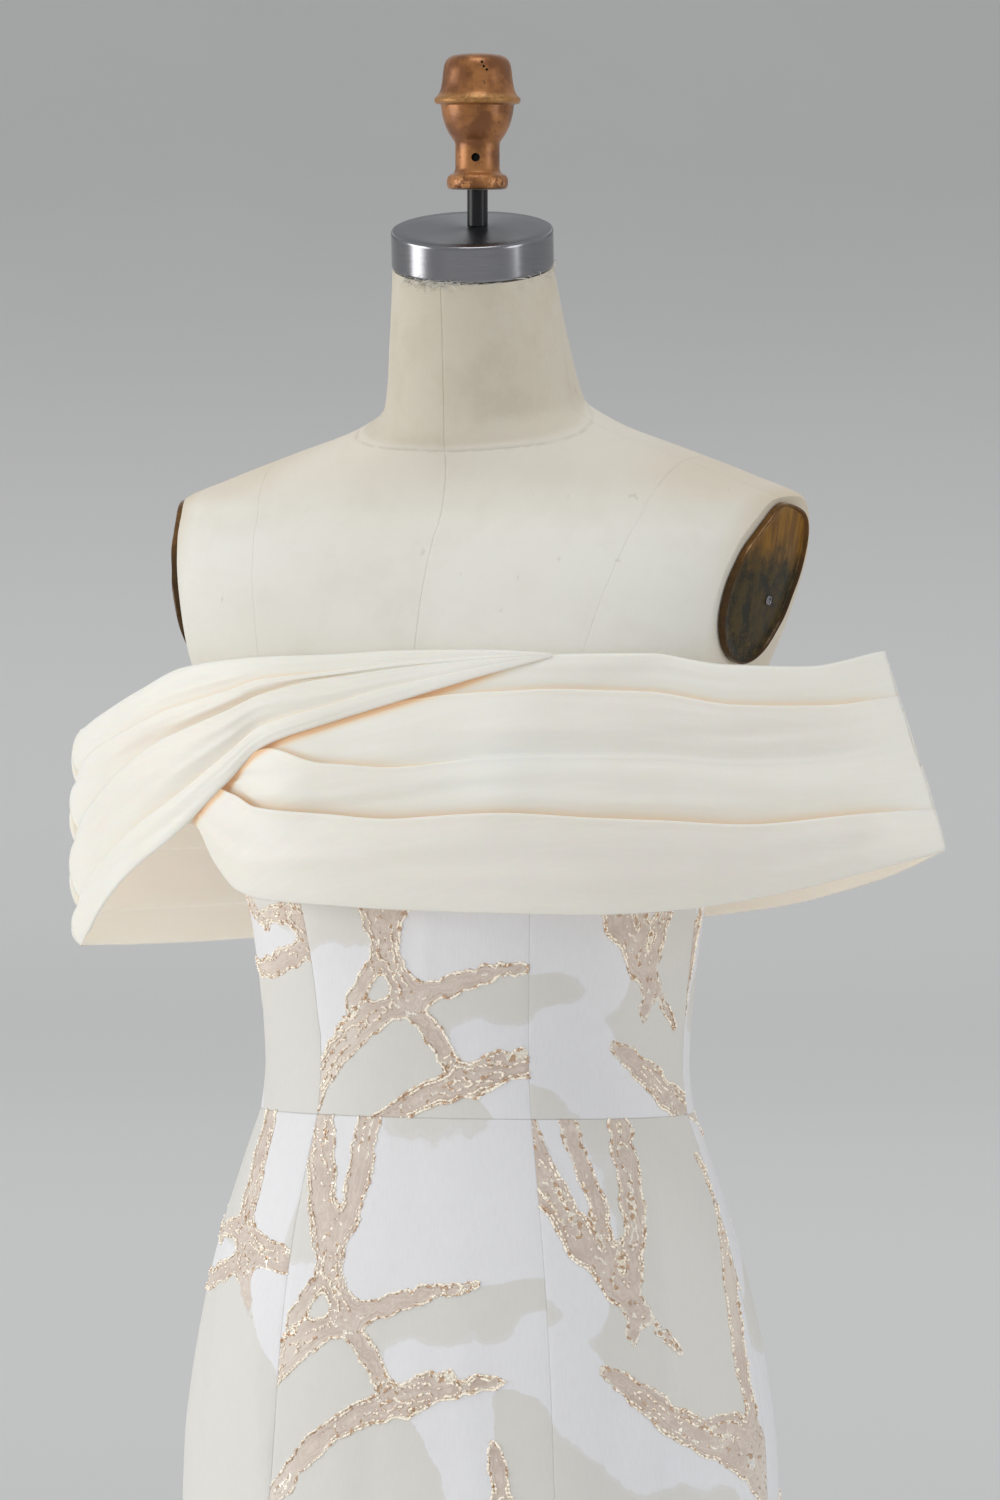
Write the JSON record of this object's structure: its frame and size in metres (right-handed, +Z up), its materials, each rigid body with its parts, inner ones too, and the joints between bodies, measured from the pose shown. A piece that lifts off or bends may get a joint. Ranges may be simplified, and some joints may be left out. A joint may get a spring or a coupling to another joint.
{
  "type": "off-shoulder dress on a dress form",
  "caption": "Full-length off-shoulder mermaid dress with a crossed, pleated drape round the upper arms, worn by a limbless dress form on a round-footed stand.",
  "frame": {"origin": "on the floor, at the middle of the underside of the stand's round foot", "axes": "+Z up along the stand's pole, -Y the way the dress faces, +X towards the wearer's left"},
  "size_m": [0.7708, 0.7431, 1.6734],
  "materials": {
    "brocade": "white and cream jacquard with rose bands and metallic thread",
    "ivory_satin": "soft satin sheen",
    "linen": "matt woven linen cover, slightly aged",
    "brushed_steel": "turned and brushed",
    "black_rod": "gloss black",
    "copper_finial": "worn copper-coloured lacquer",
    "bronze_plate": "patinated, glossy",
    "black_iron": "black enamel",
    "zip_metal": "ivory enamel"
  },
  "bodies": {
    "dress_on_form": {"bodice_front": "brocade", "bodice_side_front_right": "brocade", "bodice_side_front_left": "brocade", "bodice_back_right": "brocade", "bodice_back_left": "brocade", "skirt_front": "brocade", "skirt_side_front_right": "brocade", "skirt_side_front_left": "brocade", "skirt_back_right": "brocade", "skirt_back_left": "brocade", "drape_wrap": "ivory_satin", "drape_band": "ivory_satin", "drape_back_right": "ivory_satin", "drape_back_left": "ivory_satin", "zip_tape": "ivory_satin", "zip_slider": "zip_metal", "form_torso": "linen", "form_neck_cap": "brushed_steel", "form_rod": "black_rod", "form_finial": "copper_finial", "form_arm_plate_right": "bronze_plate", "form_arm_plate_left": "bronze_plate", "stand_pole": "brushed_steel", "stand_foot": "black_iron"},
    "zip_tab": {"zip_tab": "zip_metal"}
  },
  "joints": [
    {"name": "zip_tab_hinge", "type": "hinge", "parent": "dress_on_form", "child": "zip_tab", "pos_m": [0, 0.1178, 1.292], "axis": [1, 0, 0], "range_deg": [0, 150]}
  ]
}
